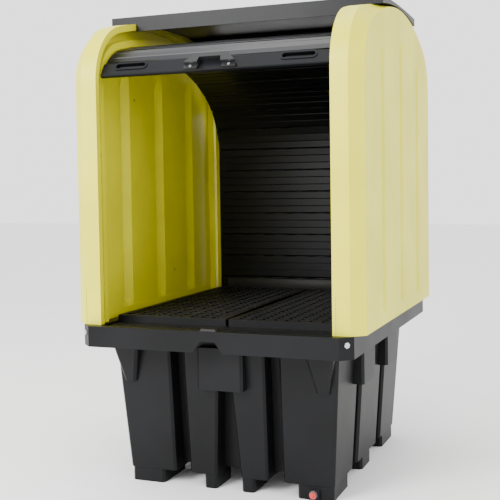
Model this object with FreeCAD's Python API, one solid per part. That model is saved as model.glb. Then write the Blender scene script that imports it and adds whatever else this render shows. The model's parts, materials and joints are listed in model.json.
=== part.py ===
"""Hard-top spill containment pallet with two roll-up slatted doors.

Millimetres, +Z up. The origin is on the floor under the middle of the base and the
front door faces -Y. A black moulded sump on skid feet carries two hollow yellow side
panels, a ridge cap, two lift-out deck grates and a drain. Each door is a train of slat
groups that stands open under the roof and closes down to the base.
"""
import FreeCAD, Part
import math
import os

V = FreeCAD.Vector

# ---- base rim ----
rim_width = 1575.0        # across, X
rim_depth = 1910.0        # front to back, Y
rim_top = 938.0           # seat of the side panels above the floor
rim_height = 116.0
rim_skin = 8.0
rim_chamfer = 62.0        # corner cut seen from above
bead_width = 42.0         # raised outer bead along the front and the back
shelf_drop = 13.0         # shelf inside the bead, under the rim top
groove_width = 16.0
groove_depth = 6.0
groove_rows = (64.0, 104.0, 166.0)     # groove lines behind the rim's front edge
side = rim_width / 2
end = rim_depth / 2

# ---- sump tub and feet, as x0, x1, y0, y1 ----
sump_wall = 7.0
pod_chamfer = 14.0
tub_floor = 100.0         # height of the fork space under the tub
tub_low_half = (side - 287.5, end - 375.0)
tub_high_half = (side - 217.5, end - 295.0)
foot_step = 80.0          # height of the narrow lower foot
foot_out = (side - 177.5, end - 266.0)
step_out = (side - 171.5, end - 258.0)
column_out = (side - 115.5, end - 190.0)
leg_low = (side - 382.5, foot_out[0], end - 555.0, foot_out[1])     # corner foot on the floor
leg_step = (side - 462.5, step_out[0], end - 633.0, step_out[1])
leg_high = (side - 461.5, column_out[0], end - 625.0, column_out[1])
mid_low = (75.0, 152.0, end - 485.0, foot_out[1])      # front and back middle feet
mid_step = (72.0, 236.0, end - 485.0, step_out[1])
mid_high = (20.0, 246.0, end - 455.0, column_out[1])
side_low = (side - 367.5, foot_out[0], -98.0, 98.0)    # side middle feet
side_step = (side - 367.5, step_out[0], -225.0, 225.0)
side_high = (side - 347.5, column_out[0], -235.0, 235.0)
block_half = 135.0        # strap pocket blocks under the rim
block_tall = 234.0
block_reach = 40.0
block_deep = 60.0
block_side_y = 285.0
gusset_x = side - 212.5   # tapered gussets on the corner legs
gusset_low_half = 34.0
gusset_high_half = 82.0
gusset_tall = 222.0
gusset_reach = 58.0
notch_low_half = 86.0     # hasp notch in the middle of the rim skirt
notch_high_half = 42.0
notch_height = 60.0
notch_deep = 34.0
boss_half = 62.0          # raised boss over the notch
boss_height = 12.0

# ---- deck ----
deck_top = rim_top + 27.0
grate_depth = 40.0
grate_half_x = side - 97.5
deck_front = 275.0 - end
deck_back = end - 170.0
deck_play = 8.0           # between the grates and the sides of their seat
grate_gap_end = 9.0       # half gap between the grates at their ends
grate_gap_mid = 24.0      # half gap in the middle, where the edges bow apart
grate_frame = 30.0
grate_bar = 13.0
grate_cells = (9, 22)
post_radius = 70.0
post_wall = 6.0
post_x = grate_half_x / 2
post_front = deck_front + 250.0
post_back = tub_low_half[1] - post_radius - 20.0
post_rows = (post_front, (post_front + post_back) / 2, post_back)
post_gap = 0.5

# ---- side panels ----
panel_in = side - 42.5    # inner wall plane
panel_out = side + 52.5   # outer face plane
panel_half_y = end - 55.0
panel_spring = rim_top + 1352.0        # where the corner arcs start
panel_corner = 360.0
panel_crown = rim_top + 1782.0
panel_skin = 6.0
bevel_x = panel_in + 25.0 # the outer bevel starts here
bevel_y = 60.0
bevel_crown = 8.0
lip_in = panel_in - 70.0  # inner edge of the front and back rim lip
lip_width = 38.0
guide_inset = 92.0        # inner guide ridge behind the door
guide_width = 40.0
guide_in = panel_in - 43.0
flute_rows = (-455.0, 0.0, 455.0)
flute_tops = (panel_crown - 270.0, panel_crown - 190.0, panel_crown - 270.0)
flute_half = 34.0
flute_depth = 22.0
flute_low = rim_top + 67.0
channel_rows = (-455.0, -15.0, 430.0)
channel_half = 62.0
channel_depth = 34.0
channel_low = rim_top + 47.0
channel_top = panel_crown - 300.0
foot_pocket_in = panel_in - 53.0
foot_pocket_out = panel_in + 23.0
foot_pocket_top = rim_top + 202.0
foot_pocket_depth = 3.0
plug_hole = 7.0           # radius of the foam-fill holes in the inner wall
plug_flange = 3.0
plug_play = 0.3
plug_spots = ((-335.0, panel_crown - 482.0), (175.0, rim_top + 212.0))

# ---- ridge cap ----
cap_half_x = panel_out - 2.0
cap_half_y = 420.0
cap_top = panel_crown + 18.0
cap_shoulder = 10.0       # the cap's long edges are this much lower than its middle
cap_under = panel_crown - 20.0
cap_lip_low = panel_crown - 80.0
cap_lip = 12.0
cap_side_gap = 3.0        # the beam ends this far inside the rim lips
cap_seat_gap = 0.5        # between the end blocks and the panel roofs

# ---- door track and slats ----
slat_pitch = 50.8
slat_thick = 10.0
slat_end_gap = 8.0        # between the slat ends and the rim lips
slat_half_x = lip_in - slat_end_gap
slat_crease = 3.0         # V groove between neighbouring slats
slat_groups = (2, 3, 3, 3, 3, 3, 3, 3, 3, 3, 3, 3, 4)  # slats in each group, the rail first
group_gap = 6.5           # half of the joint between two slat groups
# each track: half depth, height where its corners start, corner radius, crown
front_track = (panel_half_y - 12.0, panel_crown - 565.0, 360.0, panel_crown - 145.0)
rear_track = (panel_half_y - 97.0, panel_crown - 850.0, 540.0, panel_crown - 230.0)
track_low = rim_top + 2.0
rail_clear = 5.0          # the closed rail stands this far above the foot of the track
door_travel = 1375.0
rail_back = 8.0           # the rail's faces behind and ahead of the slat line
rail_front = 14.0
slot_x = slat_half_x - 177.0           # hand slots
slot_up = 66.0
slot_long = 182.0
slot_high = 30.0
collar_width = 11.0
collar_proud = 4.0
hasp_half_low = 150.0
hasp_half_high = 98.0
hasp_low = 10.0           # above the rail's lower edge
hasp_top = 92.0
hasp_shoulder = 24.0
hasp_proud = 34.0
hasp_flange = 12.0
hasp_notch_low = 74.0
hasp_notch_high = 62.0
hasp_notch_top = 68.0
hasp_screw = 4.0
hasp_screw_x = 112.0

# ---- drain ----
drain_x = side - 287.5
drain_z = 33.0
drain_pad = (34.0, 28.0)
drain_face = foot_out[1] + 14.0        # outer face of the pad, ahead of the middle
drain_bore = 14.9
drain_tube = 17.5
drain_flange = 23.0
drain_flange_thick = 7.0
drain_length = 46.0
drain_nut = 25.0
drain_nut_thick = 9.0
stem_fit = 0.05
stem_length = 24.0
seal_thick = 2.5
plug_head = 18.0
plug_head_thick = 7.0
plug_key = 6.0            # half width of the square key on the plug

# ---- fasteners ----
bolt_shank = 6.0
bolt_head = 11.0
bolt_head_thick = 6.0
hole_gap = 0.4
insert_radius = 10.0      # threaded inserts moulded into the panel floors
insert_thick = 12.0
panel_bolt_x = side - 23.5
panel_bolt_y = (-620.0, -210.0, 210.0, 620.0)
corner_bolt_half = 14.0
corner_bolt_down = 40.0
cap_screw_x = panel_in + 12.0
cap_screw_y = 250.0
cap_screw_radius = 4.0
cap_screw_head = 8.0
cap_screw_seat = 10.0     # depth of the screw seat under the cap's top


# ---------------------------------------------------------------- plain shapes
def box(x0, x1, y0, y1, z0, z1):
    return Part.makeBox(x1 - x0, y1 - y0, z1 - z0, V(x0, y0, z0))


def cut_rectangle(x0, x1, y0, y1, z, corner):
    """Horizontal rectangle whose four corners are cut off."""
    points = [
        V(x0 + corner, y0, z), V(x1 - corner, y0, z), V(x1, y0 + corner, z), V(x1, y1 - corner, z),
        V(x1 - corner, y1, z), V(x0 + corner, y1, z), V(x0, y1 - corner, z), V(x0, y0 + corner, z),
    ]
    return Part.makePolygon(points + [points[0]])


def tapered(low, z_low, high, z_high, corner, inset=0.0):
    """Tapered block between two rectangles given as x0, x1, y0, y1."""
    wires = []
    for (x0, x1, y0, y1), z in ((low, z_low), (high, z_high)):
        wires.append(cut_rectangle(x0 + inset, x1 - inset, y0 + inset, y1 - inset, z, corner))
    return Part.makeLoft(wires, True, True)


def mirror_x(shape):
    return shape.mirror(V(0, 0, 0), V(1, 0, 0))


def mirror_y(shape):
    return shape.mirror(V(0, 0, 0), V(0, 1, 0))


def fuse(shapes):
    return shapes[0].multiFuse(shapes[1:]).removeSplitter()


def cylinder(radius, length, base, axis):
    return Part.makeCylinder(radius, length, base, axis)


def ring(outer, inner, length, base, axis):
    return cylinder(outer, length, base, axis).cut(cylinder(inner, length, base, axis))


def hexagon(across_half, length, base, axis):
    """Hexagonal prism on any axis, from its half width across flats."""
    turn = FreeCAD.Rotation(V(0, 0, 1), axis)
    reach = across_half / math.cos(math.pi / 6)
    points = []
    for k in range(7):
        angle = math.radians(60 * k)
        points.append(base + turn.multVec(V(reach * math.cos(angle), reach * math.sin(angle), 0)))
    return Part.Face(Part.makePolygon(points)).extrude(axis * length)


def save(name, shape):
    shape.exportStep("parts/" + name + ".step")


# ---------------------------------------------------------------- sump base
def four_ways(rect):
    """The four copies of a corner rectangle, mirrored across X and Y."""
    x0, x1, y0, y1 = rect
    return [(x0, x1, y0, y1), (-x1, -x0, y0, y1), (x0, x1, -y1, -y0), (-x1, -x0, -y1, -y0)]


def two_ways(rect):
    x0, x1, y0, y1 = rect
    return [(x0, x1, y0, y1), (-x1, -x0, y0, y1)]


def centred(half):
    return (-half[0], half[0], -half[1], half[1])


def plate_low():
    """Underside of the rim's plate, where the tub and the columns end."""
    return rim_top - shelf_drop - rim_skin


def tub_block(inset=0.0):
    low = centred(tub_low_half)
    high = centred(tub_high_half)
    return tapered(low, tub_floor + inset, high, plate_low(), pod_chamfer, inset)


def sump_tub():
    return tub_block().cut(tub_block(sump_wall))


def columns(steps, tops):
    """Hollow tapered columns that stand outside the tub, open towards it."""
    pieces = []
    for step, top in zip(steps, tops):
        outer = tapered(step, foot_step, top, plate_low(), pod_chamfer)
        room = tapered(step, foot_step + sump_wall, top, plate_low(), pod_chamfer, sump_wall)
        pieces.append(outer.cut(room.fuse(tub_block())))
    return Part.makeCompound(pieces)


def corner_columns():
    return columns(four_ways(leg_step), four_ways(leg_high))


def middle_columns():
    return columns(four_ways(mid_step) + two_ways(side_step), four_ways(mid_high) + two_ways(side_high))


def skid_feet():
    """Ten feet, one under each column; the front right one has the drain pad."""
    feet = []
    for rect in four_ways(leg_low) + four_ways(mid_low) + two_ways(side_low):
        outer = tapered(rect, 0.0, rect, foot_step, pod_chamfer)
        feet.append(outer.cut(tapered(rect, sump_wall, rect, foot_step, pod_chamfer, sump_wall)))
    bore = cylinder(drain_tube + hole_gap, 80.0, V(drain_x, -drain_face - 10.0, drain_z), V(0, 1, 0))
    feet[2] = feet[2].fuse(drain_pad_block()).cut(bore).removeSplitter()
    return Part.makeCompound(feet)


def rim_braces():
    """Strap pocket blocks and tapered gussets on the columns, under the rim."""
    under = rim_top - rim_height
    block_low = under - block_tall
    gusset_low = under - gusset_tall
    face_x, face_y = column_out
    front = (-block_half, block_half, -face_y - block_reach, -face_y + block_deep)
    back = (-block_half, block_half, face_y - block_deep, face_y + block_reach)
    blocks = [(front, block_low, front), (back, block_low, back)]
    for y in (-block_side_y, block_side_y):
        right = (face_x - block_deep, face_x + block_reach, y - block_half, y + block_half)
        blocks += [(rect, block_low, rect) for rect in two_ways(right)]
    low = (gusset_x - gusset_low_half, gusset_x + gusset_low_half, face_y - block_deep, face_y)
    high = (gusset_x - gusset_high_half, gusset_x + gusset_high_half, face_y - block_deep, face_y + gusset_reach)
    blocks += [(a, gusset_low, b) for a, b in zip(four_ways(low), four_ways(high))]
    steps = four_ways(leg_step) + four_ways(mid_step) + two_ways(side_step)
    tops = four_ways(leg_high) + four_ways(mid_high) + two_ways(side_high)
    behind = [tapered(step, foot_step, top, plate_low(), pod_chamfer) for step, top in zip(steps, tops)]
    pieces = []
    for a, z, b in blocks:
        shell = tapered(a, z, b, under, pod_chamfer).cut(tapered(a, z + sump_wall, b, under, pod_chamfer, sump_wall))
        pieces += shell.cut(behind).Solids
    return Part.makeCompound(pieces)


def sump_rim():
    """Rim with a skirt, a raised bead front and back, a grooved shelf and the seat of the grates."""
    shelf = rim_top - shelf_drop
    over = rim_top + boss_height + 1.0
    rim_rect = centred((side, end))
    rim = tapered(rim_rect, rim_top - rim_height, rim_rect, rim_top, rim_chamfer)
    under = tapered(rim_rect, rim_top - rim_height, rim_rect, plate_low(), rim_chamfer, rim_skin)
    mouth = tapered(centred(tub_high_half), plate_low(), centred(tub_high_half), over, pod_chamfer, sump_wall)
    shelf_x = grate_half_x - 2.0 * deck_play
    seat_x = grate_half_x + deck_play
    groove_x = shelf_x - 30.0
    cuts = [under, mouth, box(-shelf_x, shelf_x, -end + bead_width, end - bead_width, shelf, over),
            box(-seat_x, seat_x, deck_front - deck_play, deck_back + deck_play, shelf, over)]
    rim = rim.cut(Part.makeCompound(cuts[:1])).cut(cuts[1]).cut(cuts[2]).cut(cuts[3])
    rim = rim.fuse(hasp_boss()).cut(hasp_notch())
    cuts = [box(-groove_x, groove_x, -end + row, -end + row + groove_width, shelf - groove_depth, shelf + 1.0)
            for row in groove_rows]
    cuts += panel_bolt_holes()
    for side_x in (-1, 1):
        for side_y in (-1, 1):
            base, out = corner_bolt_place(side_x, side_y)
            cuts.append(cylinder(bolt_shank + hole_gap, 4 * rim_skin, base + out, out * -1.0))
    return rim.cut(cuts).removeSplitter()


def hasp_boss():
    """Raised boss on the bead over the notch."""
    y = 4.0 - end
    low = (-boss_half, boss_half, y, y + bead_width + 14.0)
    high = (-boss_half + 14.0, boss_half - 14.0, y + 8.0, y + bead_width + 6.0)
    return tapered(low, rim_top - shelf_drop - 2.0, high, rim_top + boss_height, 8.0)


def hasp_notch():
    """Trapezoid notch in the skirt of the rim, where the door's hasp closes."""
    z = rim_top - rim_height
    points = [V(-notch_low_half, 0, z - 1), V(notch_low_half, 0, z - 1), V(notch_high_half, 0, z + notch_height),
              V(-notch_high_half, 0, z + notch_height), V(-notch_low_half, 0, z - 1)]
    face = Part.Face(Part.makePolygon(points))
    face.translate(V(0, -end - 1.0, 0))
    return face.extrude(V(0, notch_deep, 0))


def drain_pad_block():
    """Flat pad on the front of the foot that the drain fitting seals on."""
    half_x, half_z = drain_pad
    return box(drain_x - half_x, drain_x + half_x, -drain_face, sump_wall - foot_out[1], drain_z - half_z,
               drain_z + half_z)


def panel_bolt_holes():
    holes = []
    for hand in (-1, 1):
        for y in panel_bolt_y:
            base = V(hand * panel_bolt_x, y, rim_top - 30.0)
            holes.append(cylinder(bolt_shank + hole_gap, 60.0, base, V(0, 0, 1)))
    return holes


# ---------------------------------------------------------------- deck
def deck_grate():
    """Right-hand grate, with a bowed inner edge and a grid of drain cells."""
    x1 = grate_half_x
    y0 = deck_front
    y1 = deck_back
    low = deck_top - grate_depth
    ends = [V(grate_gap_end, y0, low), V(grate_gap_end, y1, low)]
    bow = Part.Arc(ends[0], V(grate_gap_mid, (y0 + y1) / 2, low), ends[1]).toShape()
    rest = Part.makePolygon([ends[1], V(x1, y1, low), V(x1, y0, low), ends[0]])
    plate = Part.Face(Part.Wire([bow] + rest.Edges)).extrude(V(0, 0, grate_depth))
    cells_x, cells_y = grate_cells
    left = grate_gap_mid + grate_frame
    step_x = (x1 - grate_frame - left + grate_bar) / cells_x
    step_y = (y1 - y0 - 2 * grate_frame + grate_bar) / cells_y
    cells = []
    for i in range(cells_x):
        for j in range(cells_y):
            x = left + i * step_x
            y = y0 + grate_frame + j * step_y
            cells.append(box(x, x + step_x - grate_bar, y, y + step_y - grate_bar, low - 1.0, deck_top + 1.0))
    return plate.cut(Part.makeCompound(cells))


def grate_posts():
    """Six hollow posts that carry the grates on the floor of the tub."""
    base = tub_floor + sump_wall
    height = deck_top - grate_depth - post_gap - base
    posts = []
    for x in (-post_x, post_x):
        for y in post_rows:
            posts.append(ring(post_radius, post_radius - post_wall, height, V(x, y, base), V(0, 0, 1)))
    return Part.makeCompound(posts)


# ---------------------------------------------------------------- arched outlines
def arch(half_y, spring, corner, crown):
    """Centres and radii of an arch: upright sides, corner arcs and a shallow roof arc."""
    centre_y = half_y - corner
    rise = spring - crown
    roof = (corner ** 2 - centre_y ** 2 - rise ** 2) / (2 * (rise + corner))
    sweep = math.atan2(spring - (crown - roof), centre_y)
    return centre_y, roof, sweep


def arch_wire(half_y, spring, corner, crown, x, z_low):
    centre_y, roof, sweep = arch(half_y, spring, corner, crown)
    half = sweep / 2
    edges = []

    def on_corner(hand, angle):
        return V(x, hand * (centre_y + corner * math.cos(angle)), spring + corner * math.sin(angle))

    left = [V(x, -half_y, spring), on_corner(-1, half), on_corner(-1, sweep)]
    right = [on_corner(1, sweep), on_corner(1, half), V(x, half_y, spring)]
    edges.append(Part.makeLine(V(x, -half_y, z_low), left[0]))
    edges.append(Part.Arc(*left).toShape())
    edges.append(Part.Arc(left[2], V(x, 0, crown), right[0]).toShape())
    edges.append(Part.Arc(*right).toShape())
    edges.append(Part.makeLine(right[2], V(x, half_y, z_low)))
    edges.append(Part.makeLine(V(x, half_y, z_low), V(x, -half_y, z_low)))
    return Part.Wire(edges)


def panel_wire(inset, x, z_low):
    return arch_wire(panel_half_y - inset, panel_spring, panel_corner - inset, panel_crown - inset, x, z_low)


def panel_prism(inset, x0, x1, z_low):
    return Part.Face(panel_wire(inset, x0, z_low)).extrude(V(x1 - x0, 0, 0))


def panel_bevel(inset, x0, x1, z_low):
    """The outer part of the panel, from its full outline to the smaller outer face."""
    outer = arch_wire(panel_half_y - bevel_y - inset, panel_spring, panel_corner - bevel_y - inset,
                      panel_crown - bevel_crown - inset, x1, z_low)
    return Part.makeLoft([panel_wire(inset, x0, z_low), outer], True, True)


# ---------------------------------------------------------------- side panels
def groove_section(face_x, into, y, half, depth, z, share, skin=0.0):
    """Trapezoid groove section in a wall; share scales its depth, skin thickens it all round."""
    deep = depth * share + skin
    start = face_x - into * 1.0
    points = [V(start, y - half - skin, z), V(face_x + into * deep, y - half * 0.8 - skin, z),
              V(face_x + into * deep, y + half * 0.1 + skin, z), V(start, y + half + skin, z)]
    return Part.makePolygon(points + [points[0]])


def groove(face_x, into, y, half, depth, z_low, z_top, skin=0.0):
    """Vertical groove with sloped ends, cut into the wall at face_x."""
    z0 = z_low - skin
    z1 = z_top + skin
    wires = [groove_section(face_x, into, y, half, depth, z0, 0.02, skin),
             groove_section(face_x, into, y, half, depth, z0 + depth, 1.0, skin),
             groove_section(face_x, into, y, half, depth, z1 - 3 * depth, 1.0, skin),
             groove_section(face_x, into, y, half, depth, z1, 0.02, skin)]
    return Part.makeLoft(wires, True, True)


def wall_grooves(skin=0.0):
    cuts = []
    for y, top in zip(flute_rows, flute_tops):
        cuts.append(groove(panel_out, -1, y, flute_half, flute_depth, flute_low, top, skin))
    for y in channel_rows:
        cuts.append(groove(panel_in, 1, y, channel_half, channel_depth, channel_low, channel_top, skin))
    return cuts


def side_panel():
    """Right-hand panel: a hollow moulding with a rim lip and an inner guide ridge."""
    z = rim_top
    wall = panel_prism(0.0, panel_in, bevel_x, z).fuse(panel_bevel(0.0, bevel_x, panel_out, z))
    lip = panel_prism(0.0, lip_in, panel_in, z).cut(panel_prism(lip_width, lip_in, panel_in, z))
    ridge = panel_prism(guide_inset, guide_in, panel_in, z)
    ridge = ridge.cut(panel_prism(guide_inset + guide_width, guide_in, panel_in, z))
    body = wall.multiFuse([lip, ridge])
    s = panel_skin
    room = panel_prism(s, panel_in + s, bevel_x, z + s).fuse(panel_bevel(s, bevel_x, panel_out - s, z + s))
    room = room.cut(Part.makeCompound(wall_grooves(s)))
    lip_room = panel_prism(s, lip_in + s, panel_in + 2 * s, z + s)
    lip_room = lip_room.cut(panel_prism(lip_width - s, lip_in + s, panel_in + 2 * s, z))
    ridge_room = panel_prism(guide_inset + s, guide_in + s, panel_in + 2 * s, z + s)
    ridge_room = ridge_room.cut(panel_prism(guide_inset + guide_width - s, guide_in + s, panel_in + 2 * s, z))
    room = room.multiFuse([lip_room, ridge_room])
    cuts = wall_grooves()
    for y in (-panel_half_y, panel_half_y):
        pocket = box(foot_pocket_in, foot_pocket_out, y - foot_pocket_depth, y + foot_pocket_depth,
                     z - 1.0, foot_pocket_top)
        cuts.append(pocket)
    for y, height in plug_spots:
        cuts.append(cylinder(plug_hole, 3 * s, V(panel_in - s, y, height), V(1, 0, 0)))
    for y in panel_bolt_y:
        cuts.append(cylinder(bolt_shank + hole_gap, 3 * s, V(panel_bolt_x, y, z - s), V(0, 0, 1)))
    for y in (-cap_screw_y, cap_screw_y):
        cuts.append(cylinder(cap_screw_radius + hole_gap, 60.0, V(cap_screw_x, y, panel_crown - 40.0), V(0, 0, 1)))
    return body.cut(room).cut(Part.makeCompound(cuts))


def fill_plugs():
    """Small round plugs that close the foam-fill holes of both panels."""
    plugs = []
    for y, height in plug_spots:
        stem = cylinder(plug_hole - plug_play, panel_skin, V(panel_in, y, height), V(1, 0, 0))
        head = cylinder(plug_hole + plug_flange, plug_flange, V(panel_in - plug_flange, y, height), V(1, 0, 0))
        plug = stem.fuse(head)
        plugs += [plug, mirror_x(plug)]
    return Part.makeCompound(plugs)


def panel_bolts():
    """Hexagon bolts up through the rim into the floor of each panel."""
    low = rim_top - shelf_drop - rim_skin
    long = rim_top + panel_skin + insert_thick - low
    bolts = []
    for hand in (-1, 1):
        for y in panel_bolt_y:
            base = V(hand * panel_bolt_x, y, low)
            head = hexagon(bolt_head, bolt_head_thick, base, V(0, 0, -1))
            bolts.append(head.fuse(cylinder(bolt_shank, long, base, V(0, 0, 1))))
    return Part.makeCompound(bolts)


def panel_inserts():
    """Threaded inserts on the floor inside each panel."""
    inserts = []
    for hand in (-1, 1):
        for y in panel_bolt_y:
            base = V(hand * panel_bolt_x, y, rim_top + panel_skin)
            inserts.append(ring(insert_radius, bolt_shank + hole_gap, insert_thick, base, V(0, 0, 1)))
    return Part.makeCompound(inserts)


def corner_bolt_place(side_x, side_y):
    """Middle of the cut corner of the rim, with its outward direction."""
    x = side - rim_chamfer / 2
    y = end - rim_chamfer / 2
    root = math.sqrt(0.5)
    return V(side_x * x, side_y * y, rim_top - corner_bolt_down), V(side_x * root, side_y * root, 0)


def corner_bolts():
    """Tie-down bolts on the cut corners of the rim."""
    bolts = []
    for side_x in (-1, 1):
        for side_y in (-1, 1):
            base, out = corner_bolt_place(side_x, side_y)
            head = hexagon(corner_bolt_half, bolt_head_thick, base, out)
            bolts.append(head.fuse(cylinder(bolt_shank, 3 * rim_skin, base, out * -1.0)))
    return Part.makeCompound(bolts)


# ---------------------------------------------------------------- ridge cap
def cap_profile(x, z_low):
    """Closed wire of the cap's arched top over a flat lower edge."""
    shoulder = cap_top - cap_shoulder
    edges = [Part.makeLine(V(x, -cap_half_y, z_low), V(x, -cap_half_y, shoulder)),
             Part.Arc(V(x, -cap_half_y, shoulder), V(x, 0, cap_top), V(x, cap_half_y, shoulder)).toShape(),
             Part.makeLine(V(x, cap_half_y, shoulder), V(x, cap_half_y, z_low)),
             Part.makeLine(V(x, cap_half_y, z_low), V(x, -cap_half_y, z_low))]
    return Part.Wire(edges)


def ridge_cap():
    """Beam between the panels over the meeting line of the doors, with an end block on each panel."""
    stop = lip_in - cap_side_gap
    beam = Part.Face(cap_profile(-stop, cap_lip_low)).extrude(V(2 * stop, 0, 0))
    under = box(-stop - 1.0, stop + 1.0, -cap_half_y + cap_lip, cap_half_y - cap_lip, cap_lip_low - 1.0, cap_under)
    beam = beam.cut(under)
    roof = panel_prism(-cap_seat_gap, stop, cap_half_x + 1.0, rim_top)
    block = Part.Face(cap_profile(stop, cap_lip_low)).extrude(V(cap_half_x - stop, 0, 0)).cut(roof)
    cap = fuse([beam, block, mirror_x(block)])
    cuts = []
    for hand in (-1, 1):
        for y in (-cap_screw_y, cap_screw_y):
            base = V(hand * cap_screw_x, y, panel_crown - 60.0)
            cuts.append(cylinder(cap_screw_radius + hole_gap, 100.0, base, V(0, 0, 1)))
            seat = V(hand * cap_screw_x, y, cap_top - cap_screw_seat)
            cuts.append(cylinder(cap_screw_head + hole_gap, 20.0, seat, V(0, 0, 1)))
    return cap.cut(Part.makeCompound(cuts))


def cap_screws():
    """Screws down through the end blocks into the panel roofs."""
    screws = []
    for hand in (-1, 1):
        for y in (-cap_screw_y, cap_screw_y):
            seat = V(hand * cap_screw_x, y, cap_top - cap_screw_seat)
            shank = cylinder(cap_screw_radius, 45.0, seat, V(0, 0, -1))
            screws.append(shank.fuse(cylinder(cap_screw_head, 5.0, seat, V(0, 0, 1))))
    return Part.makeCompound(screws)


# ---------------------------------------------------------------- door track
def track_pose(track, along):
    """Point (y, z) on a track and its slope there, from the track's front foot."""
    half_y, spring, corner, crown = track
    centre_y, roof, sweep = arch(half_y, spring, corner, crown)
    upright = spring - track_low
    bend = corner * sweep
    half_run = upright + bend + roof * (math.pi / 2 - sweep)
    if along > half_run:
        (y, z), slope = track_pose(track, 2 * half_run - along)
        return (-y, z), -slope
    if along < upright:
        return (-half_y, track_low + along), math.pi / 2
    if along < upright + bend:
        turn = (along - upright) / corner
        y = -centre_y - corner * math.cos(turn)
        return (y, spring + corner * math.sin(turn)), math.pi / 2 - turn
    turn = sweep + (along - upright - bend) / roof
    return (-roof * math.cos(turn), crown - roof + roof * math.sin(turn)), math.pi / 2 - turn


def door_groups(track):
    """Slats, place on the shut door, open pose and shut pose of each group, rail first."""
    groups = []
    foot = rail_clear
    for count in slat_groups:
        middle = foot + count * slat_pitch / 2
        groups.append((count, foot, track_pose(track, middle + door_travel), track_pose(track, middle)))
        foot += count * slat_pitch
    return groups


def pole(opened, closed):
    """Fixed point (y, z) about which one turn carries the open pose to the closed one."""
    turn = closed[1] - opened[1]
    lever = 0.5 / math.tan(turn / 2)
    (y0, z0), (y1, z1) = opened[0], closed[0]
    return ((y0 + y1) / 2 - (z1 - z0) * lever, (z0 + z1) / 2 + (y1 - y0) * lever), turn


def carried(shape, start, end):
    """Shape carried from one pose of the slat line to another."""
    result = shape.copy()
    result.rotate(V(0, start[0][0], start[0][1]), V(1, 0, 0), math.degrees(end[1] - start[1]))
    result.translate(V(0, end[0][0] - start[0][0], end[0][1] - start[0][1]))
    return result


# ---------------------------------------------------------------- slats and rails
def beside(pose, offset, along=0.0):
    """Point on the plane x = -slat_half_x, off a pose: outwards by offset and on by along."""
    (y, z), slope = pose
    return V(-slat_half_x, y - offset * math.sin(slope) + along * math.cos(slope),
             z + offset * math.cos(slope) + along * math.sin(slope))


def slat_strip(track, foot, count):
    """Group of slats as it lies on its track, with a V groove between neighbours."""
    half = slat_thick / 2
    top = count * slat_pitch
    first = track_pose(track, foot + group_gap)
    outer = [beside(first, half - 2.0), beside(first, half, 2.0)]
    inner = [beside(first, -half)]
    for k in range(1, count):
        pose = track_pose(track, foot + k * slat_pitch)
        outer += [beside(pose, half, -slat_crease), beside(pose, half - slat_crease),
                  beside(pose, half, slat_crease)]
        inner += [beside(pose, -half, -slat_crease), beside(pose, slat_crease / 2 - half),
                  beside(pose, -half, slat_crease)]
    last = track_pose(track, foot + top - group_gap)
    outer += [beside(last, half, -2.0), beside(last, half - 2.0)]
    inner.append(beside(last, -half))
    points = outer + inner[::-1]
    return Part.Face(Part.makePolygon(points + [points[0]])).extrude(V(2 * slat_half_x, 0, 0))


def stadium(half_long, half_high, x, y, z0, z1):
    """Upright-sided block with round ends, long in X."""
    straight = half_long - half_high
    rounds = [Part.makeCylinder(half_high, z1 - z0, V(x + hand * straight, y, z0)) for hand in (-1, 1)]
    return fuse([box(x - straight, x + straight, y - half_high, y + half_high, z0, z1)] + rounds)


def bottom_rail():
    """Rail laid flat: its height runs along Y and its outer face looks up."""
    low = -slat_pitch + group_gap
    high = slat_pitch - group_gap
    bar = Part.Face(Part.makePolygon([
        V(-slat_half_x, low, -rail_back), V(-slat_half_x, low, rail_front - 5.0),
        V(-slat_half_x, low + 5.0, rail_front), V(-slat_half_x, high - 5.0, rail_front),
        V(-slat_half_x, high, rail_front - 5.0), V(-slat_half_x, high, -slat_thick / 2),
        V(-slat_half_x, high - 4.0, -rail_back), V(-slat_half_x, low, -rail_back)]))
    bar = bar.extrude(V(2 * slat_half_x, 0, 0))
    y = slot_up - slat_pitch
    half_long = slot_long / 2
    half_high = slot_high / 2
    cuts = []
    for x in (-slot_x, slot_x):
        collar = stadium(half_long + collar_width, half_high + collar_width, x, y, 0.0, rail_front + collar_proud)
        bar = bar.fuse(collar)
        cuts.append(stadium(half_long, half_high, x, y, -rail_back - 1.0, rail_front + collar_proud + 1.0))
    for x in (-hasp_screw_x, hasp_screw_x):
        hole = V(x, hasp_low + 14.0 - slat_pitch, 0.0)
        cuts.append(cylinder(hasp_screw + hole_gap, 30.0, hole, V(0, 0, 1)))
    return bar.cut(Part.makeCompound(cuts)).removeSplitter()


def hasp():
    """Hasp bracket laid flat on the rail's outer face, notched from below."""
    low = hasp_low - slat_pitch
    top = hasp_top - slat_pitch
    notch = hasp_notch_top - slat_pitch
    z = rail_front + hole_gap
    outline = [V(-hasp_half_low, low, z), V(-hasp_notch_low, low, z), V(-hasp_notch_high, notch, z),
               V(hasp_notch_high, notch, z), V(hasp_notch_low, low, z), V(hasp_half_low, low, z),
               V(hasp_half_low, low + hasp_shoulder, z), V(hasp_half_high, top, z), V(-hasp_half_high, top, z),
               V(-hasp_half_low, low + hasp_shoulder, z)]
    body = Part.Face(Part.makePolygon(outline + [outline[0]])).extrude(V(0, 0, hasp_proud))
    step = box(-hasp_half_low - 1.0, hasp_half_low + 1.0, low - 1.0, low + hasp_shoulder + 2.0, z + hasp_flange,
               z + hasp_proud + 1.0)
    body = body.cut(step)
    holes = [cylinder(hasp_screw + hole_gap, 30.0, V(x, low + 14.0, z - 1.0), V(0, 0, 1))
             for x in (-hasp_screw_x, hasp_screw_x)]
    return body.cut(Part.makeCompound(holes))


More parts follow.
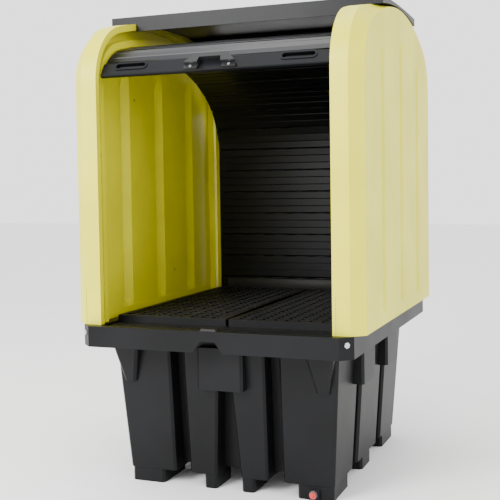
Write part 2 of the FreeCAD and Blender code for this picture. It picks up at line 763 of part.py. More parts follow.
def hasp_screws():
    """Two pan screws that hold the hasp to the rail."""
    screws = []
    for x in (-hasp_screw_x, hasp_screw_x):
        base = V(x, hasp_low + 14.0 - slat_pitch, rail_front + hole_gap + hasp_flange)
        shank = cylinder(hasp_screw, rail_front + 8.0, base, V(0, 0, -1))
        screws.append(shank.fuse(cylinder(2 * hasp_screw, 4.0, base, V(0, 0, 1))))
    return Part.makeCompound(screws)


def save_door(prefix, track, shut):
    """Writes one door; a door that stands shut is the rear one and is mirrored."""
    groups = door_groups(track)
    flat = ((0.0, 0.0), 0.0)
    rail_pose = groups[0][3] if shut else groups[0][2]
    shapes = {"rail": carried(bottom_rail(), flat, rail_pose), "hasp": carried(hasp(), flat, rail_pose),
              "hasp_screws": carried(hasp_screws(), flat, rail_pose)}
    moved = 0.0 if shut else door_travel
    for number, (count, foot, opened, closed) in enumerate(groups[1:], 1):
        shapes["slats_" + str(number)] = slat_strip(track, foot + moved, count)
    for name, shape in shapes.items():
        save(prefix + "_" + name, mirror_y(shape) if shut else shape)


# ---------------------------------------------------------------- drain
def drain_hub():
    return V(drain_x, -drain_face, drain_z)


def drain_fitting():
    """Flanged tube through the foot wall."""
    hub = drain_hub()
    flange = cylinder(drain_flange, drain_flange_thick, hub, V(0, -1, 0))
    tube = cylinder(drain_tube, drain_length, hub, V(0, 1, 0))
    mouth = V(drain_x, -drain_face - drain_flange_thick - 1.0, drain_z)
    bore = cylinder(drain_bore, drain_length + drain_flange_thick + 2.0, mouth, V(0, 1, 0))
    return flange.fuse(tube).cut(bore)


def drain_nut_piece():
    base = V(drain_x, sump_wall - foot_out[1], drain_z)
    nut = hexagon(drain_nut, drain_nut_thick, base, V(0, 1, 0))
    return nut.cut(cylinder(drain_tube + hole_gap, 3 * drain_nut_thick, base - V(0, drain_nut_thick, 0), V(0, 1, 0)))


def drain_gasket():
    face = V(drain_x, -drain_face - drain_flange_thick, drain_z)
    return ring(plug_head, drain_bore + hole_gap, seal_thick, face, V(0, -1, 0))


def drain_plug():
    """Plug with a stem in the fitting's bore, a round head and a square key."""
    face = V(drain_x, -drain_face - drain_flange_thick - seal_thick, drain_z)
    head = cylinder(plug_head, plug_head_thick, face, V(0, -1, 0))
    stem = cylinder(drain_bore - stem_fit, stem_length, face, V(0, 1, 0))
    y = face.y - plug_head_thick
    key = box(drain_x - plug_key, drain_x + plug_key, y - 7.0, y + 1.0, drain_z - plug_key, drain_z + plug_key)
    return fuse([head, stem, key])


# ---------------------------------------------------------------- all nodes
def main():
    os.makedirs("parts", exist_ok=True)
    panel = side_panel()
    grate = deck_grate()
    save("sump_rim", sump_rim())
    save("sump_tub", sump_tub())
    save("corner_columns", corner_columns())
    save("middle_columns", middle_columns())
    save("skid_feet", skid_feet())
    save("rim_braces", rim_braces())
    save("side_panel_right", panel)
    save("side_panel_left", mirror_x(panel))
    save("fill_plugs", fill_plugs())
    save("panel_bolts", panel_bolts())
    save("panel_inserts", panel_inserts())
    save("corner_bolts", corner_bolts())
    save("ridge_cap", ridge_cap())
    save("cap_screws", cap_screws())
    save("deck_grate_right", grate)
    save("deck_grate_left", mirror_x(grate))
    save("grate_posts", grate_posts())
    save("drain_fitting", drain_fitting())
    save("drain_nut", drain_nut_piece())
    save("drain_gasket", drain_gasket())
    save("drain_plug", drain_plug())
    save_door("front", front_track, False)
    save_door("rear", rear_track, True)


main()
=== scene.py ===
import json
import math

import bmesh
import bpy
from bpy.props import FloatProperty, FloatVectorProperty, IntProperty, PointerProperty
from mathutils import Matrix, Vector

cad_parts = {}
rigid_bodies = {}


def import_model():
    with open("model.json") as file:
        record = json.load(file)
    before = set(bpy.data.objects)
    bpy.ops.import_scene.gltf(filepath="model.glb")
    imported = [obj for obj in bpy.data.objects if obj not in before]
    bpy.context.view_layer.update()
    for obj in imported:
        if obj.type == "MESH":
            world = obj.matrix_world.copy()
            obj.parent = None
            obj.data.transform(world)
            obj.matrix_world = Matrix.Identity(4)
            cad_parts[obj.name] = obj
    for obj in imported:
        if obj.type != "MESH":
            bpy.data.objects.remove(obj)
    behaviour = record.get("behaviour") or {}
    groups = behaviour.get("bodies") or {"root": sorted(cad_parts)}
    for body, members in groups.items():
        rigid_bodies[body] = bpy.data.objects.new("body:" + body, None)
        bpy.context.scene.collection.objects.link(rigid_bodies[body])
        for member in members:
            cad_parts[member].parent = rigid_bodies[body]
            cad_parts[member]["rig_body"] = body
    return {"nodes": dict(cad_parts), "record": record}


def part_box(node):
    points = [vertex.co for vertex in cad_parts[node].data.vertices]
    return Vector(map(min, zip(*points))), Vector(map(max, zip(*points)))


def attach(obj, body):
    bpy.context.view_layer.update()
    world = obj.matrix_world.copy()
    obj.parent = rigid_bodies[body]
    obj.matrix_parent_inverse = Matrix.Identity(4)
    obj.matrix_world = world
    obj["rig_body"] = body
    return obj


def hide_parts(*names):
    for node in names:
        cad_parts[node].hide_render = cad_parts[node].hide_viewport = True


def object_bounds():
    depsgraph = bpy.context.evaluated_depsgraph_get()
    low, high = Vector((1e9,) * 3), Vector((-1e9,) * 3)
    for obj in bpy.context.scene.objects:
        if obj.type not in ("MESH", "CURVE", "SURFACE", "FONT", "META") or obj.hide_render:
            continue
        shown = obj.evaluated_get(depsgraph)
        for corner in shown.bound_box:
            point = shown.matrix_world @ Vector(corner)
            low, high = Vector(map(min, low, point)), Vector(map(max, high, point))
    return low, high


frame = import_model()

bl_info = {
    "name": "Covered spill pallet",
    "version": (1, 0, 0),
    "blender": (4, 5, 0),
    "location": "3D View > Sidebar > Pallet",
    "description": "Finishes and fine detail for a covered spill containment pallet",
    "category": "Object",
}

NODES = frame["nodes"]
CAD_LOW, CAD_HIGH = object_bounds()
SLOTS = {part["node"]: part["material_slot"] for part in frame["record"]["subparts"]}

INSIDE = Vector((0.0, 1.7))        # (y, z) in the middle of the covered space
CREASE = math.radians(14)          # edges sharper than this are rounded and shaded sharp
WELD = 1e-5                        # corners nearer than this are one

# outlines in metres, as (along, outward) from the edge that each piece starts at
LAP_ROOT = ((-0.006, 0.0046), (-0.006, 0.0062), (-0.004, 0.0074))
LAP_FOOT = 0.0005                  # where the lap leaves the slat that carries it
LAP_FACES = (0.0046, 0.0058, 0.0074)
LAP_OVER_RAIL = -0.0012            # the lap ends short of the taller rail
LAP_OVER_SLAT = 0.0035             # and reaches over the slats
BEAD_SINK = 0.0008                 # the bead sits this deep in its slat
BEAD_SIDES = 12
# dark sheet behind each hand slot, painted shade for the slot
SHADE_SHEET_ROOT = ((0.003, -0.0005), (0.003, 0.0016))
SHADE_SHEET_FOOT = ((-0.005, 0.0030), (-0.003, -0.0005))      # from the far end of the rail's face
SHADE_SHEET_ENDS = 0.05                   # the dark shade sheet stops this far from the ends of the rail
SHORTEST_EDGE = 0.03               # a rail's inner face is longer than this
FLAT_WITHIN = 2e-4

# rear shade strips, dark strips that close the slit beside the slat ends as painted shade, follow the panel's
# arched outline
ARCH_RISE = 0.430                  # from the start of the arch to the panel's crown
ARCH_RADIUS = 0.360
ARCH_TURN = math.radians(62)
STRIP_INSET = 0.0395               # behind the panel's outline
STRIP_STEPS = 12
STRIP_SECTION = ((0.0, 0.3), (0.12, 0.0), (1.0, 0.0), (1.0, 1.0), (0.12, 1.0), (0.0, 0.7))

# camera
CAMERA_PLACE = (2.0128, -5.3758, 1.7265)
CAMERA_YAW, CAMERA_PITCH, CAMERA_ROLL = -0.3705, -0.0502, -0.0151
CAMERA_LENS, CAMERA_SENSOR = 66.4, 36.0
CAMERA_SHIFT = (-0.0146, -0.0434)


# ---------------------------------------------------------------- settings
class FinishSettings(bpy.types.PropertyGroup):
    """Colours and sheen of the moulded parts."""
    panel_colour: FloatVectorProperty(name="Panel colour", description="Colour of the side panels",
                                      default=(0.66, 0.62, 0.004), size=3, subtype="COLOR", min=0, max=1)
    panel_drift: FloatVectorProperty(name="Panel shade", description="Deeper colour that the panels drift to",
                                     default=(0.58, 0.54, 0.003), size=3, subtype="COLOR", min=0, max=1)
    base_colour: FloatVectorProperty(name="Base colour", description="Colour of the black mouldings",
                                     default=(0.0025, 0.0026, 0.0030), size=3, subtype="COLOR", min=0, max=1)
    base_drift: FloatVectorProperty(name="Base shade", description="Greyer colour that the mouldings drift to",
                                    default=(0.005, 0.0052, 0.0060), size=3, subtype="COLOR", min=0, max=1)
    slat_colour: FloatVectorProperty(name="Slat colour", description="Colour of the door slats and rails",
                                     default=(0.0022, 0.0024, 0.0034), size=3, subtype="COLOR", min=0, max=1)
    plug_colour: FloatVectorProperty(name="Plug colour", description="Colour of the drain plug",
                                     default=(0.58, 0.035, 0.025), size=3, subtype="COLOR", min=0, max=1)
    # dust on upward faces, which on the deck grates is also a painted yellowish-brown reflection
    dust_colour: FloatVectorProperty(name="Dust and reflection colour", description="Colour of the dust on upward faces",
                                     default=(0.30, 0.27, 0.22), size=3, subtype="COLOR", min=0, max=1)


class DetailSettings(bpy.types.PropertyGroup):
    """Sizes of the fine pieces."""
    panel_round: FloatProperty(name="Panel edge", description="Edge radius of the side panels",
                               default=0.005, min=0.0005, max=0.02, unit="LENGTH")
    base_round: FloatProperty(name="Base edge", description="Edge radius of the black mouldings",
                              default=0.004, min=0.0005, max=0.02, unit="LENGTH")
    edge_steps: IntProperty(name="Edge steps", description="Facets across a rounded edge", default=2,
                            min=1, max=4)
    knuckle_radius: FloatProperty(name="Knuckle radius", description="Radius of the bead between slat groups",
                                  default=0.0038, min=0.001, max=0.006, unit="LENGTH")
    knuckle_length: FloatProperty(name="Knuckle length", description="Length of one hinge knuckle",
                                  default=0.165, min=0.05, max=0.6, unit="LENGTH")
    # the strip is a dark sheet that closes the slit at the slat ends, painted shade
    strip_width: FloatProperty(name="Strip width", description="Width of the wiper strip beside the rear door",
                               default=0.030, min=0.01, max=0.06, unit="LENGTH")
    strip_thick: FloatProperty(name="Strip thickness", description="Thickness of the wiper strip",
                               default=0.006, min=0.002, max=0.012, unit="LENGTH")


class StageSettings(bpy.types.PropertyGroup):
    """Floor, light and camera."""
    floor_colour: FloatVectorProperty(name="Floor colour", description="Colour of the floor",
                                      default=(0.86, 0.86, 0.86), size=3, subtype="COLOR", min=0, max=1)
    sky_strength: FloatProperty(name="Surround", description="Brightness of the surrounding white",
                                default=2.2, min=0, max=4)
    key_power: FloatProperty(name="Key light", description="Power of the main light", default=760.0, min=0,
                             unit="POWER")
    fill_power: FloatProperty(name="Fill light", description="Power of the side light", default=70.0, min=0,
                              unit="POWER")
    top_power: FloatProperty(name="Top light", description="Power of the overhead light", default=110.0, min=0,
                             unit="POWER")


# ---------------------------------------------------------------- finishes
def moulded_surface():
    """Node group with slow colour drift, fine grain and a brownish mix on upward faces, which is dust and, on
    the deck grates, also a painted reflection.
    """
    made = bpy.data.node_groups.get("moulded_surface")
    if made:
        return made
    group = bpy.data.node_groups.new("moulded_surface", "ShaderNodeTree")
    face = group.interface
    for name, kind, value in (("Colour", "NodeSocketColor", (0.5, 0.5, 0.5, 1)),
                              ("Drift Colour", "NodeSocketColor", (0.4, 0.4, 0.4, 1)),
                              ("Dust Colour", "NodeSocketColor", (0.3, 0.27, 0.22, 1)),
                              ("Dust And Reflection", "NodeSocketFloat", 0.0),
                              ("Roughness", "NodeSocketFloat", 0.5),
                              ("Grain Scale", "NodeSocketFloat", 400.0)):
        face.new_socket(name=name, in_out="INPUT", socket_type=kind).default_value = value
    for name, kind in (("Colour", "NodeSocketColor"), ("Roughness", "NodeSocketFloat"),
                       ("Height", "NodeSocketFloat")):
        face.new_socket(name=name, in_out="OUTPUT", socket_type=kind)
    nodes, link = group.nodes, group.links.new
    start, stop = nodes.new("NodeGroupInput"), nodes.new("NodeGroupOutput")
    place = nodes.new("ShaderNodeTexCoord")

    drift = nodes.new("ShaderNodeTexNoise")
    drift.inputs["Scale"].default_value = 2.4
    drift.inputs["Detail"].default_value = 5.0
    link(place.outputs["Object"], drift.inputs["Vector"])
    spread = nodes.new("ShaderNodeMapRange")
    spread.inputs["From Min"].default_value, spread.inputs["From Max"].default_value = 0.35, 0.68
    link(drift.outputs["Fac"], spread.inputs["Value"])
    tint = nodes.new("ShaderNodeMix")
    tint.data_type = "RGBA"
    link(spread.outputs["Result"], tint.inputs["Factor"])
    link(start.outputs["Colour"], tint.inputs["A"])
    link(start.outputs["Drift Colour"], tint.inputs["B"])

    # brownish mix on faces that point up: dust, and on the deck grates also a painted reflection
    upward = nodes.new("ShaderNodeSeparateXYZ")
    link(place.outputs["Normal"], upward.inputs["Vector"])
    facing_up = nodes.new("ShaderNodeMapRange")
    facing_up.inputs["From Min"].default_value, facing_up.inputs["From Max"].default_value = 0.55, 1.0
    link(upward.outputs["Z"], facing_up.inputs["Value"])
    patches = nodes.new("ShaderNodeTexNoise")
    patches.inputs["Scale"].default_value = 14.0
    patches.inputs["Detail"].default_value = 8.0
    link(place.outputs["Object"], patches.inputs["Vector"])
    thin = nodes.new("ShaderNodeMath")
    thin.operation = "MULTIPLY"
    link(facing_up.outputs["Result"], thin.inputs[0])
    link(patches.outputs["Fac"], thin.inputs[1])
    amount = nodes.new("ShaderNodeMath")
    amount.operation = "MULTIPLY"
    link(thin.outputs["Value"], amount.inputs[0])
    link(start.outputs["Dust And Reflection"], amount.inputs[1])
    dust_and_reflection_mix = nodes.new("ShaderNodeMix")
    dust_and_reflection_mix.data_type = "RGBA"
    link(amount.outputs["Value"], dust_and_reflection_mix.inputs["Factor"])
    link(tint.outputs["Result"], dust_and_reflection_mix.inputs["A"])
    link(start.outputs["Dust Colour"], dust_and_reflection_mix.inputs["B"])
    link(dust_and_reflection_mix.outputs["Result"], stop.inputs["Colour"])

    grain = nodes.new("ShaderNodeTexNoise")
    grain.inputs["Detail"].default_value = 3.0
    link(place.outputs["Object"], grain.inputs["Vector"])
    link(start.outputs["Grain Scale"], grain.inputs["Scale"])
    link(grain.outputs["Fac"], stop.inputs["Height"])
    sheen = nodes.new("ShaderNodeMapRange")
    sheen.inputs["To Min"].default_value, sheen.inputs["To Max"].default_value = 0.82, 1.18
    link(drift.outputs["Fac"], sheen.inputs["Value"])
    rough = nodes.new("ShaderNodeMath")
    rough.operation = "MULTIPLY"
    link(sheen.outputs["Result"], rough.inputs[0])
    link(start.outputs["Roughness"], rough.inputs[1])
    soft = nodes.new("ShaderNodeMath")
    soft.operation = "ADD"
    link(rough.outputs["Value"], soft.inputs[0])
    link(amount.outputs["Value"], soft.inputs[1])
    link(soft.outputs["Value"], stop.inputs["Roughness"])
    return group


def finish(name, colour, drift, roughness, grain=420.0, relief=0.0004, dust_and_reflection=0.0, metallic=0.0,
           gloss=0.5):
    """Material with a moulded surface, made once per name."""
    made = bpy.data.materials.get(name)
    if made:
        return made
    material = bpy.data.materials.new(name)
    material.use_nodes = True
    tree = material.node_tree
    shader = tree.nodes["Principled BSDF"]
    surface = tree.nodes.new("ShaderNodeGroup")
    surface.node_tree = moulded_surface()
    surface.inputs["Colour"].default_value = (*colour, 1)
    surface.inputs["Drift Colour"].default_value = (*drift, 1)
    surface.inputs["Dust Colour"].default_value = (*bpy.context.scene.pallet_finish.dust_colour, 1)
    surface.inputs["Dust And Reflection"].default_value = dust_and_reflection
    surface.inputs["Roughness"].default_value = roughness
    surface.inputs["Grain Scale"].default_value = grain
    relief_node = tree.nodes.new("ShaderNodeBump")
    relief_node.inputs["Strength"].default_value = 0.35
    relief_node.inputs["Distance"].default_value = relief
    link = tree.links.new
    link(surface.outputs["Colour"], shader.inputs["Base Color"])
    link(surface.outputs["Roughness"], shader.inputs["Roughness"])
    link(surface.outputs["Height"], relief_node.inputs["Height"])
    link(relief_node.outputs["Normal"], shader.inputs["Normal"])
    shader.inputs["Metallic"].default_value = metallic
    shader.inputs["Specular IOR Level"].default_value = gloss
    return material


def slot_finish(slot):
    """The material of one of the record's slots."""
    colours = bpy.context.scene.pallet_finish
    black, grey, slat = tuple(colours.base_colour), tuple(colours.base_drift), tuple(colours.slat_colour)
    lighter = tuple(c * 1.7 for c in slat)
    if slot == "panel_yellow":
        return finish("yellow_polyethylene", tuple(colours.panel_colour), tuple(colours.panel_drift), 0.46,
                      grain=300.0, relief=0.0006, dust_and_reflection=0.04)
    if slot == "sump_black":
        return finish("black_polyethylene", black, grey, 0.44, grain=320.0, relief=0.0006, dust_and_reflection=0.02,
                      gloss=0.16)
    if slot == "cap_black":
        return finish("cap_polyethylene", black, grey, 0.40, grain=320.0, relief=0.0005, dust_and_reflection=0.02,
                      gloss=0.16)
    # the grates take the strongest upward mix, a painted yellowish-brown reflection on their tops as well as
    # dust
    if slot == "grate_black":
        return finish("grate_polyethylene", black, grey, 0.50, grain=360.0, relief=0.0005, dust_and_reflection=0.06,
                      gloss=0.2)
    if slot == "slat_black":
        return finish("slat_extrusion", slat, lighter, 0.30, grain=700.0, relief=0.0002, gloss=0.22)
    if slot == "rail_black":
        return finish("rail_extrusion", slat, lighter, 0.34, grain=700.0, relief=0.0002, gloss=0.18)
    if slot == "hasp_black":
        return finish("hasp_moulding", black, grey, 0.38, relief=0.0003)
    if slot == "steel":
        return finish("zinc_steel", (0.56, 0.57, 0.58), (0.46, 0.47, 0.50), 0.34, grain=900.0, relief=0.0001,
                      metallic=1.0)
    if slot == "brass":
        return finish("brass_insert", (0.65, 0.52, 0.27), (0.52, 0.40, 0.20), 0.36, grain=900.0, relief=0.0001,
                      metallic=1.0)
    if slot == "fitting_grey":
        return finish("fitting_moulding", (0.07, 0.07, 0.078), (0.10, 0.10, 0.108), 0.42, relief=0.0003)
    if slot == "seal":
        return finish("rubber_seal", (0.012, 0.012, 0.012), (0.02, 0.02, 0.02), 0.72, grain=900.0,
                      relief=0.0003)
    if slot == "plug_red":
        red = tuple(colours.plug_colour)
        return finish("red_plug", red, tuple(c * 0.8 for c in red), 0.38, relief=0.0002)
    if slot == "plug_grey":
        return finish("fill_plug", (0.42, 0.38, 0.06), (0.34, 0.31, 0.05), 0.50, relief=0.0003)
    raise RuntimeError("no finish for slot " + slot)


def paint(piece, slot):
    """Gives a piece or a CAD node the finish of a slot."""
    piece.data.materials.clear()
    piece.data.materials.append(slot_finish(slot))
    for face in piece.data.polygons:
        face.material_index = 0


def repaint(*names):
    """Gives CAD nodes their finish and leaves their shape alone."""
    for name in names:
        material = slot_finish(SLOTS[name])
        spots = NODES[name].material_slots
        if not spots:
            NODES[name].data.materials.append(material)
        for spot in spots:
            spot.material = material


# ---------------------------------------------------------------- mesh helpers
def new_piece(name, mesh, body, slot):
    """Object for a finished mesh that rides on a body."""
    piece = bpy.data.objects.new(name, mesh)
    bpy.context.scene.collection.objects.link(piece)
    paint(piece, slot)
    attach(piece, body)
    return piece


def rounded(node, radius):
    """Copy of a CAD node with welded corners and rounded edges, which stands for the node."""
    mesh = NODES[node].data.copy()
    mesh.name = node + "_mesh"
    shape = bmesh.new()
    shape.from_mesh(mesh)
    bmesh.ops.remove_doubles(shape, verts=shape.verts, dist=WELD)
    bmesh.ops.dissolve_limit(shape, angle_limit=math.radians(0.4), verts=shape.verts, edges=shape.edges)
    for face in shape.faces:
        face.smooth = True
    for edge in shape.edges:
        edge.smooth = edge.calc_face_angle(0.0) < CREASE
    shape.to_mesh(mesh)
    shape.free()
    piece = new_piece(node + "_moulding", mesh, NODES[node]["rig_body"], SLOTS[node])
    edge_round = piece.modifiers.new("edge_round", "BEVEL")
    edge_round.width = radius
    edge_round.segments = bpy.context.scene.pallet_detail.edge_steps
    edge_round.limit_method = "ANGLE"
    edge_round.angle_limit = CREASE
    edge_round.use_clamp_overlap = True
    edge_round.harden_normals = True
    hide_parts(node)
    return piece


def side_view(node):
    """Corner points of a node seen from the side, as (y, z) vectors."""
    return [Vector(p) for p in {(round(v.co.y, 5), round(v.co.z, 5)) for v in NODES[node].data.vertices}]


def inner_edge(points):
    """Ends of the longest straight edge that faces the inside of the cover, and the way it faces."""
    longest = None
    for low in points:
        for high in points:
            into = Vector((low.y - high.y, high.x - low.x))
            if into.length < SHORTEST_EDGE or into.dot(INSIDE - low) <= 0:
                continue
            if longest and into.length <= longest[3]:
                continue
            facing = into.normalized()
            if max((point - low).dot(facing) for point in points) < FLAT_WITHIN:
                longest = (low, high, facing, into.length)
    return longest[:3]


def middle(points):
    """Mean of a list of points."""
    return sum(points, Vector((0.0, 0.0))) / len(points)


def lofted(rings, name):
    """Closed mesh skinned over rings of points, with capped ends."""
    shape = bmesh.new()
    loops = [[shape.verts.new(p) for p in ring] for ring in rings]
    count = len(rings[0])
    for low, high in zip(loops, loops[1:]):
        for i in range(count):
            shape.faces.new((low[i], low[(i + 1) % count], high[(i + 1) % count], high[i]))
    shape.faces.new(loops[0][::-1])
    shape.faces.new(loops[-1])
    bmesh.ops.recalc_face_normals(shape, faces=shape.faces)
    for face in shape.faces:
        face.smooth = len(face.verts) == 4
    mesh = bpy.data.meshes.new(name)
    shape.to_mesh(mesh)
    shape.free()
    return mesh


# ---------------------------------------------------------------- pieces
class PALLET_OT_side_panels(bpy.types.Operator):
    """Round the edges of both side panels and give them their finish"""
    bl_idname = "pallet.side_panels"
    bl_label = "Side panels"

    def execute(self, context):
        for node in ("side_panel_right", "side_panel_left"):
            rounded(node, context.scene.pallet_detail.panel_round)
        repaint("fill_plugs")
        return {"FINISHED"}


class PALLET_OT_base(bpy.types.Operator):
    """Round the edges of the sump's black mouldings and give them their finish"""
    bl_idname = "pallet.base"
    bl_label = "Base mouldings"

    def execute(self, context):
        for node in ("sump_rim", "corner_columns", "middle_columns", "skid_feet"):
            rounded(node, context.scene.pallet_detail.base_round)
        repaint("sump_tub", "rim_braces", "grate_posts")
        return {"FINISHED"}


class PALLET_OT_ridge_cap(bpy.types.Operator):
    """Round the edges of the ridge cap and give it its finish"""
    bl_idname = "pallet.ridge_cap"
    bl_label = "Ridge cap"

    def execute(self, context):
        rounded("ridge_cap", context.scene.pallet_detail.base_round)
        return {"FINISHED"}


class PALLET_OT_deck(bpy.types.Operator):
    """Give the two lift-out deck grates their finish"""
    bl_idname = "pallet.deck"
    bl_label = "Deck grates"

    def execute(self, context):
        repaint("deck_grate_right", "deck_grate_left")
        return {"FINISHED"}


class PALLET_OT_doors(bpy.types.Operator):
    """Finish both slatted doors and add the hinge bead between their slat groups"""
    bl_idname = "pallet.doors"
    bl_label = "Slatted doors"

    def bead(self, lower, upper, name):
        """Hinge bead along the edge of one slat group, next to the group above it."""
        detail = bpy.context.scene.pallet_detail
        here, there = side_view(lower), side_view(upper)
        goal = min(there, key=lambda p: min((p - q).length for q in here))
        edge = middle(sorted(here, key=lambda p: (p - goal).length)[:2])
        far = middle(sorted(there, key=lambda p: (p - edge).length)[:2])
        radius = detail.knuckle_radius
        centre = edge + (far - edge).normalized() * (radius - BEAD_SINK)
        half_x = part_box(lower)[1].x - 0.004
        count = round(2 * half_x / detail.knuckle_length)
        rings = []
        for k in range(count):
            start = -half_x + 2 * half_x * k / count
            stop = -half_x + 2 * half_x * (k + 1) / count
            for x, share in ((start, 0.7), (start + 0.002, 1.0), (stop - 0.003, 1.0), (stop - 0.001, 0.7)):
                around = [Vector((math.cos(t), math.sin(t))) * radius * share + centre
                          for t in (math.tau * i / BEAD_SIDES for i in range(BEAD_SIDES))]
                rings.append([(x, p.x, p.y) for p in around])
        return new_piece(name, lofted(rings, name), NODES[lower]["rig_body"], "slat_black")

    def lap(self, lower, upper, name, over):
        """Weather lap on the outer face of a slat group, down over the group below it."""
        here, there = side_view(upper), side_view(lower)
        goal = min(there, key=lambda p: min((p - q).length for q in here))
        top = middle(sorted(here, key=lambda p: (p - goal).length)[:2])
        foot = middle(sorted(there, key=lambda p: (p - top).length)[:2])
        down = (foot - top).normalized()
        out = Vector((-down.y, down.x))
        if out.dot(top - INSIDE) < 0:
            out = -out
        end = (foot - top).length + over
        half_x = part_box(upper)[1].x - 0.002
        face, under, outer = LAP_FACES
        ring = [top + down * along + out * rise
                for along, rise in (*LAP_ROOT, (end, outer), (end, under), (LAP_FOOT, under), (LAP_FOOT, face))]
        rings = [[(x, p.x, p.y) for p in ring] for x in (-half_x, half_x)]
        return new_piece(name, lofted(rings, name), NODES[upper]["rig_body"], "slat_black")

    def flap(self, rail, name):
        """Dark sheet behind the hand slots on the rail's inner face, painted shade that keeps the slots from
        showing light.
        """
        points = side_view(rail)
        low, high, into = inner_edge(points)
        along = (high - low).normalized()
        span = (high - low).length
        half_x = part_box(rail)[1].x - SHADE_SHEET_ENDS
        ring = [low + along * up + into * deep
                for up, deep in (*SHADE_SHEET_ROOT, *((span + up, deep) for up, deep in SHADE_SHEET_FOOT))]
        rings = [[(x, p.x, p.y) for p in ring] for x in (-half_x, half_x)]
        return new_piece(name, lofted(rings, name), NODES[rail]["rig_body"], "seal")

    def execute(self, context):
        for door in ("front", "rear"):
            count = sum(name.startswith(door + "_slats_") for name in NODES)
            train = [door + "_rail"] + [door + "_slats_" + str(k) for k in range(1, count + 1)]
            for k, (lower, upper) in enumerate(zip(train, train[1:]), 1):
                self.bead(lower, upper, door + "_hinge_bead_" + str(k))
                over = LAP_OVER_RAIL if k == 1 else LAP_OVER_SLAT
                self.lap(lower, upper, door + "_weather_lap_" + str(k), over)
            # a dark sheet behind each hand slot, painted shade so the slot reads dark
            self.flap(train[0], door + "_slot_shade_sheet")
            repaint(*train, door + "_hasp", door + "_hasp_screws")
        return {"FINISHED"}


class PALLET_OT_wiper_strips(bpy.types.Operator):
    """Add dark strips behind the rear lips, beside the ends of the slats, as painted shade that keeps the slit
    there from showing light
    """
    bl_idname = "pallet.wiper_strips"
    bl_label = "Shade strips"

    def execute(self, context):
        detail = context.scene.pallet_detail
        slat_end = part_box("rear_slats_1")[1].x
        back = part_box("side_panel_right")[1].y
        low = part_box("side_panel_right")[0].z + 0.012
        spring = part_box("side_panel_right")[1].z - ARCH_RISE
        path = [((back - STRIP_INSET, low + k * (spring - low) / STRIP_STEPS), (1.0, 0.0))
                for k in range(STRIP_STEPS + 1)]
        reach = ARCH_RADIUS - STRIP_INSET
        for k in range(1, STRIP_STEPS + 1):
            turn = ARCH_TURN * k / STRIP_STEPS
            path.append(((back - ARCH_RADIUS + reach * math.cos(turn), spring + reach * math.sin(turn)),
                         (math.cos(turn), math.sin(turn))))
        for side, hand in ((1, "right"), (-1, "left")):
            rings = []
            for (y, z), (out_y, out_z) in path:
                ring = []
                for across, deep in STRIP_SECTION:
                    x = side * (slat_end + 0.0015 + across * detail.strip_width)
                    drop = detail.strip_thick * deep
                    ring.append((x, y - out_y * drop, z - out_z * drop))
                rings.append(ring)
            new_piece("shade_strip_" + hand, lofted(rings, "shade_strip_" + hand), "base", "seal")
        return {"FINISHED"}


class PALLET_OT_fasteners(bpy.types.Operator):
    """Give the bolts, inserts and screws their finish"""
    bl_idname = "pallet.fasteners"
    bl_label = "Fasteners"

    def execute(self, context):
        repaint("panel_bolts", "panel_inserts", "corner_bolts", "cap_screws")
        return {"FINISHED"}


class PALLET_OT_drain(bpy.types.Operator):
    """Give the drain fitting, its nut, gasket and plug their finish"""
    bl_idname = "pallet.drain"
    bl_label = "Drain"

    def execute(self, context):
        repaint("drain_fitting", "drain_nut", "drain_gasket", "drain_plug")
        return {"FINISHED"}


# ---------------------------------------------------------------- stage
def area_light(name, power, size, place, target):
    """Soft square light that faces a point."""
    lamp = bpy.data.lights.new(name, "AREA")
    lamp.energy, lamp.size = power, size
    light = bpy.data.objects.new(name, lamp)
    bpy.context.scene.collection.objects.link(light)
    light.location = place
    light.rotation_euler = (Vector(target) - Vector(place)).to_track_quat("-Z", "Y").to_euler()


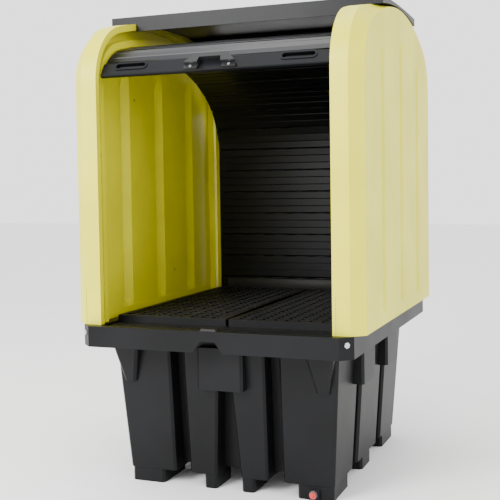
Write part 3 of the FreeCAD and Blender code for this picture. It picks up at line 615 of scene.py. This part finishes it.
class PALLET_OT_stage(bpy.types.Operator):
    """Lay the floor and set the light and the camera"""
    bl_idname = "pallet.stage"
    bl_label = "Stage"

    def execute(self, context):
        stage = context.scene.pallet_stage
        mesh = bpy.data.meshes.new("floor")
        shape = bmesh.new()
        bmesh.ops.create_grid(shape, x_segments=8, y_segments=8, size=30.0)
        shape.to_mesh(mesh)
        shape.free()
        floor = bpy.data.objects.new("floor", mesh)
        context.scene.collection.objects.link(floor)
        floor.location.z = CAD_LOW.z - 0.0005
        pale = tuple(stage.floor_colour)
        mesh.materials.append(finish("pale_floor", pale, tuple(c * 0.985 for c in pale), 0.85, grain=60.0,
                                     relief=0.0002))

        world = bpy.data.worlds.new("studio")
        world.use_nodes = True
        surround = world.node_tree.nodes["Background"]
        surround.inputs["Color"].default_value = (1.0, 1.0, 1.0, 1.0)
        surround.inputs["Strength"].default_value = stage.sky_strength
        context.scene.world = world

        area_light("key_light", stage.key_power, 3.0, (-2.6, -6.0, 4.6), (0.0, 0.0, 1.3))
        area_light("fill_light", stage.fill_power, 3.0, (5.5, -2.5, 3.0), (0.0, 0.0, 1.2))
        area_light("top_light", stage.top_power, 4.0, (0.0, 0.5, 6.5), (0.0, 0.0, 1.0))

        yaw, pitch, roll = CAMERA_YAW, CAMERA_PITCH, CAMERA_ROLL
        ahead = Vector((math.sin(yaw) * math.cos(pitch), math.cos(yaw) * math.cos(pitch), math.sin(pitch)))
        right = Vector((math.cos(yaw), -math.sin(yaw), 0.0))
        above = right.cross(ahead)
        across = right * math.cos(roll) + above * math.sin(roll)
        upright = above * math.cos(roll) - right * math.sin(roll)
        lens = bpy.data.cameras.new("camera")
        lens.sensor_width, lens.lens = CAMERA_SENSOR, CAMERA_LENS
        lens.shift_x, lens.shift_y = CAMERA_SHIFT
        lens.clip_end = 200.0
        camera = bpy.data.objects.new("camera", lens)
        context.scene.collection.objects.link(camera)
        turned = Matrix((across, upright, -ahead)).transposed().to_4x4()
        camera.matrix_world = Matrix.Translation(CAMERA_PLACE) @ turned
        context.scene.camera = camera
        return {"FINISHED"}


class PALLET_PT_sidebar(bpy.types.Panel):
    """Settings and steps of the pallet"""
    bl_idname = "PALLET_PT_sidebar"
    bl_label = "Covered spill pallet"
    bl_space_type = "VIEW_3D"
    bl_region_type = "UI"
    bl_category = "Pallet"

    def draw(self, context):
        for group in (context.scene.pallet_finish, context.scene.pallet_detail, context.scene.pallet_stage):
            column = self.layout.column()
            for name in group.__annotations__:
                column.prop(group, name)
        for operator in OPERATORS:
            self.layout.operator(operator.bl_idname)


SETTINGS = {"pallet_finish": FinishSettings, "pallet_detail": DetailSettings, "pallet_stage": StageSettings}
OPERATORS = (PALLET_OT_side_panels, PALLET_OT_base, PALLET_OT_ridge_cap, PALLET_OT_deck, PALLET_OT_doors,
             PALLET_OT_wiper_strips, PALLET_OT_fasteners, PALLET_OT_drain, PALLET_OT_stage)


def register():
    """Adds the classes and the scene's settings."""
    for made in (*SETTINGS.values(), *OPERATORS, PALLET_PT_sidebar):
        bpy.utils.register_class(made)
    for name, group in SETTINGS.items():
        setattr(bpy.types.Scene, name, PointerProperty(type=group))


def unregister():
    """Takes away what register added."""
    for name in SETTINGS:
        delattr(bpy.types.Scene, name)
    for made in reversed((*SETTINGS.values(), *OPERATORS, PALLET_PT_sidebar)):
        bpy.utils.unregister_class(made)


def main():
    """Builds every piece in order."""
    register()
    bpy.ops.pallet.side_panels()
    bpy.ops.pallet.base()
    bpy.ops.pallet.ridge_cap()
    bpy.ops.pallet.deck()
    bpy.ops.pallet.doors()
    bpy.ops.pallet.wiper_strips()
    bpy.ops.pallet.fasteners()
    bpy.ops.pallet.drain()
    bpy.ops.pallet.stage()


if __name__ == "__main__":
    main()
